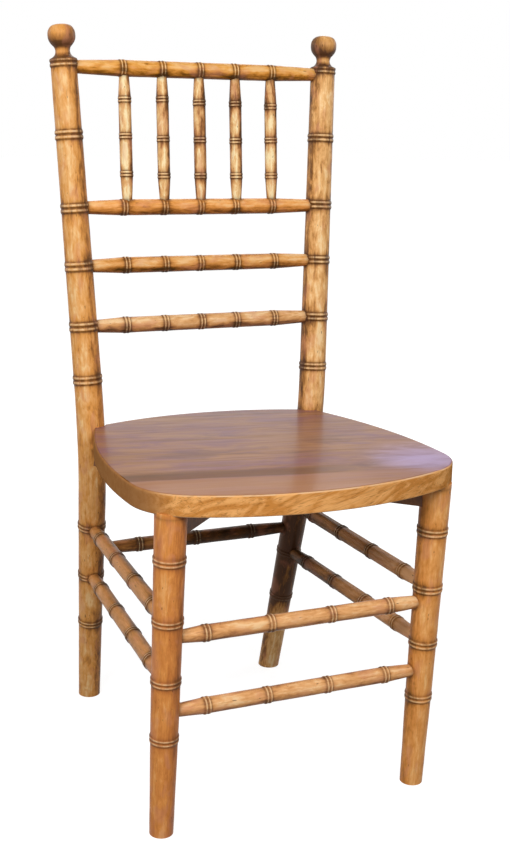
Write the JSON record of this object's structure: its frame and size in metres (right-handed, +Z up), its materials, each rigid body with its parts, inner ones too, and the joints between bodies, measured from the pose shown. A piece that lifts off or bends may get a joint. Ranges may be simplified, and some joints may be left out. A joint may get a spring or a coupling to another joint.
{
  "type": "chiavari chair",
  "caption": "Wooden chiavari side chair with bamboo-turned posts, legs, rails and spindles and a flat bowed seat board.",
  "frame": {"origin": "on the floor, below the middle of the chair's bounding box", "axes": "+Z up, -Y towards the front of the seat, +X towards the right as the chair is seen from the front"},
  "size_m": [0.4066, 0.4685, 0.918],
  "materials": {
    "frame_wood": "semi-gloss stained lacquer, darker in the grooves",
    "seat_wood": "gloss stained lacquer",
    "rail_wood": "satin stained wood",
    "screw_steel": "zinc plated"
  },
  "bodies": {
    "root": {"seat": "seat_wood", "back_post_left": "frame_wood", "back_post_right": "frame_wood", "front_leg_left": "frame_wood", "front_leg_right": "frame_wood", "top_rail": "frame_wood", "spindle_rail": "frame_wood", "middle_rail": "frame_wood", "lower_rail": "frame_wood", "spindle_1": "frame_wood", "spindle_2": "frame_wood", "spindle_3": "frame_wood", "spindle_4": "frame_wood", "spindle_5": "frame_wood", "front_stretcher_upper": "frame_wood", "front_stretcher_lower": "frame_wood", "side_stretcher_left_upper": "frame_wood", "side_stretcher_left_lower": "frame_wood", "side_stretcher_right_upper": "frame_wood", "side_stretcher_right_lower": "frame_wood", "back_stretcher": "frame_wood", "cross_rail_left": "rail_wood", "cross_rail_right": "rail_wood", "seat_screws": "screw_steel"}
  },
  "joints": []
}
